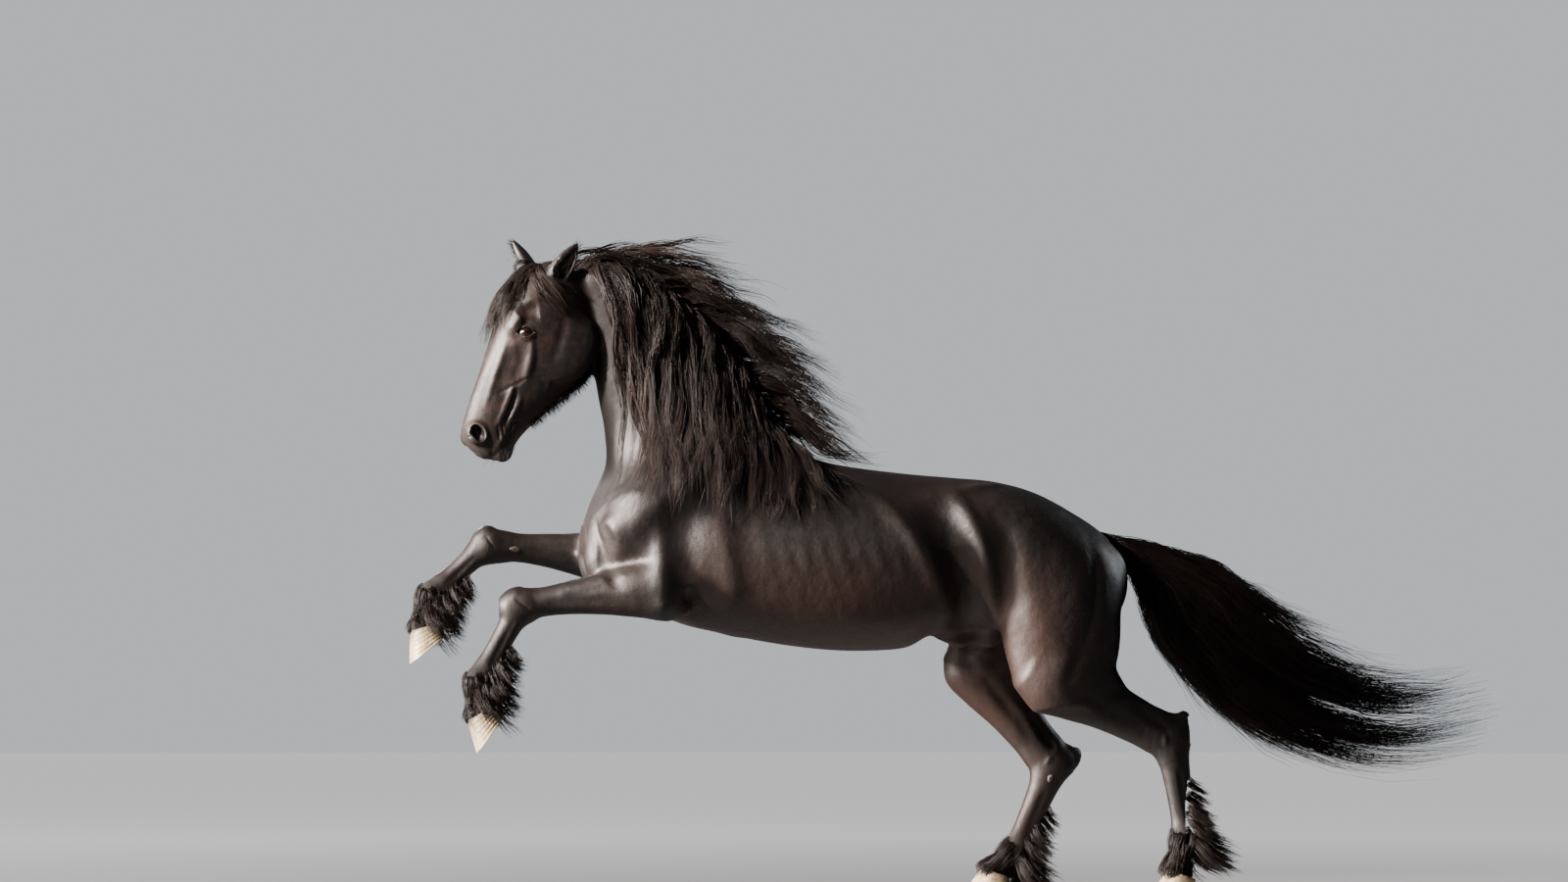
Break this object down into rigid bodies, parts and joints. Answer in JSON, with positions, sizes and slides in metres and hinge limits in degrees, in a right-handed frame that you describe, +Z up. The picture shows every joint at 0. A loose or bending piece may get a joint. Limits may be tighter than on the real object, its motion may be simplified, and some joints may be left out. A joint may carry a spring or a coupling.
{
  "type": "friesian horse",
  "caption": "Life-size still model of a black heavy-maned horse in mid leap, forelegs folded up, hind feet on a flat display base",
  "frame": {"origin": "middle of the flat underside of the display base", "axes": "the animal faces -X, its left side is towards -Y, +Z is up; +X runs along its length"},
  "size_m": [3.4354, 0.8, 2.1076],
  "materials": {
    "coat": "short glossy hair over skin",
    "hair": "long wavy hair",
    "horn": "satin hoof horn",
    "eye": "wet gloss",
    "board": "matt paint"
  },
  "bodies": {
    "root": {"torso": "coat", "neck": "coat", "head": "coat", "tail": "hair", "ear_left": "coat", "ear_right": "coat", "eye_left": "eye", "eye_right": "eye", "foreleg_left_upper": "coat", "foreleg_left_lower": "coat", "foreleg_left_hoof": "horn", "hindleg_left_upper": "coat", "hindleg_left_lower": "coat", "hindleg_left_hoof": "horn", "foreleg_right_upper": "coat", "foreleg_right_lower": "coat", "foreleg_right_hoof": "horn", "hindleg_right_upper": "coat", "hindleg_right_lower": "coat", "hindleg_right_hoof": "horn", "stand_base": "board"}
  },
  "joints": []
}
